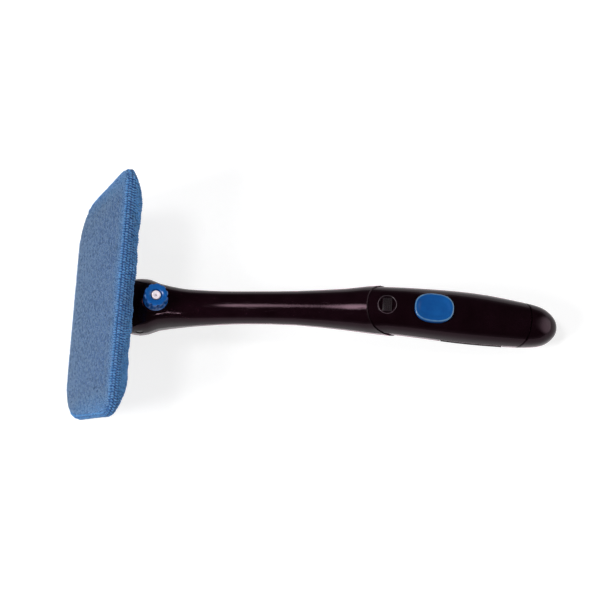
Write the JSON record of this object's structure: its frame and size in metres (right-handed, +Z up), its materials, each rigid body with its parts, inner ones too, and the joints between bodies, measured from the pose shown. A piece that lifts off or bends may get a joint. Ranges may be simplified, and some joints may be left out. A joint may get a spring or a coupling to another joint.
{
  "type": "window cleaning brush",
  "caption": "Hand-held window cleaning brush: a cloth-covered tilting head on an arched handle with a thumb pump, a spray nozzle and a small water tank behind a pull-off end cap.",
  "frame": {"origin": "middle of the bounding box's base, on the surface the tool lies on", "axes": "+X along the handle from the head to the tail, +Y across the tool, +Z up"},
  "size_m": [0.417, 0.2192, 0.088],
  "materials": {
    "black_plastic": "gloss",
    "blue_plastic": "satin gloss",
    "white_plastic": "satin",
    "clear_plastic": "frosted",
    "dark_rubber": "matt",
    "blue_cloth": "microfibre loops",
    "foam": "open cell",
    "steel": "plated"
  },
  "bodies": {
    "handle": {"neck_upper_shell": "black_plastic", "neck_lower_shell": "black_plastic", "neck_plug": "black_plastic", "grip_upper_shell": "black_plastic", "grip_lower_shell": "black_plastic", "grip_strip": "dark_rubber", "hinge_pin": "steel", "friction_washer_left": "dark_rubber", "friction_washer_right": "dark_rubber", "nozzle_body": "clear_plastic", "nozzle_gasket": "dark_rubber", "nozzle_insert": "white_plastic", "pump_cylinder": "white_plastic", "pump_collar": "white_plastic", "pump_spring": "steel", "outlet_valve": "dark_rubber", "inlet_valve": "dark_rubber", "latch_spring": "steel", "neck_tube": "clear_plastic", "grip_tube": "clear_plastic", "suction_tube": "clear_plastic", "dip_tube": "clear_plastic", "tube_coupling": "white_plastic", "water_tank": "clear_plastic", "neck_screw_1": "steel", "neck_screw_2": "steel", "grip_screw_1": "steel", "grip_screw_2": "steel", "grip_screw_3": "steel", "grip_screw_4": "steel"},
    "head": {"microfibre_bonnet": "blue_cloth", "hem_elastic": "dark_rubber", "foam_pad": "foam", "head_plate": "black_plastic", "head_bracket": "black_plastic", "bracket_screw_1": "steel", "bracket_screw_2": "steel", "bracket_screw_3": "steel", "bracket_screw_4": "steel"},
    "nozzle": {"nozzle_cap": "blue_plastic"},
    "button": {"pump_button": "blue_plastic", "pump_piston": "white_plastic"},
    "latch": {"latch_tab": "black_plastic"},
    "tail": {"end_cap": "black_plastic", "tank_stopper": "dark_rubber"}
  },
  "joints": [
    {"name": "head_tilt", "type": "hinge", "parent": "handle", "child": "head", "pos_m": [-0.1436, 0, 0.03966], "axis": [0, -1, 0], "range_deg": [0, 60]},
    {"name": "nozzle_turn", "type": "hinge", "parent": "handle", "child": "nozzle", "pos_m": [-0.12903, 0, 0.0586], "axis": [0.1987, 0, 0.9801], "range_deg": [0, 270]},
    {"name": "button_press", "type": "slide", "parent": "handle", "child": "button", "axis": [-0.206, 0, -0.9785], "range_m": [0, 0.005], "stiffness_N_per_m": 800, "springref_m": -0.001, "deforming": ["pump_spring"]},
    {"name": "latch_press", "type": "slide", "parent": "handle", "child": "latch", "axis": [-0.0604, 0, -0.9982], "range_m": [0, 0.0015], "stiffness_N_per_m": 1500, "springref_m": -0.0007, "deforming": ["latch_spring"]},
    {"name": "cap_pull", "type": "slide", "parent": "handle", "child": "tail", "axis": [0.9546, 0, -0.298], "range_m": [0, 0.03]}
  ]
}
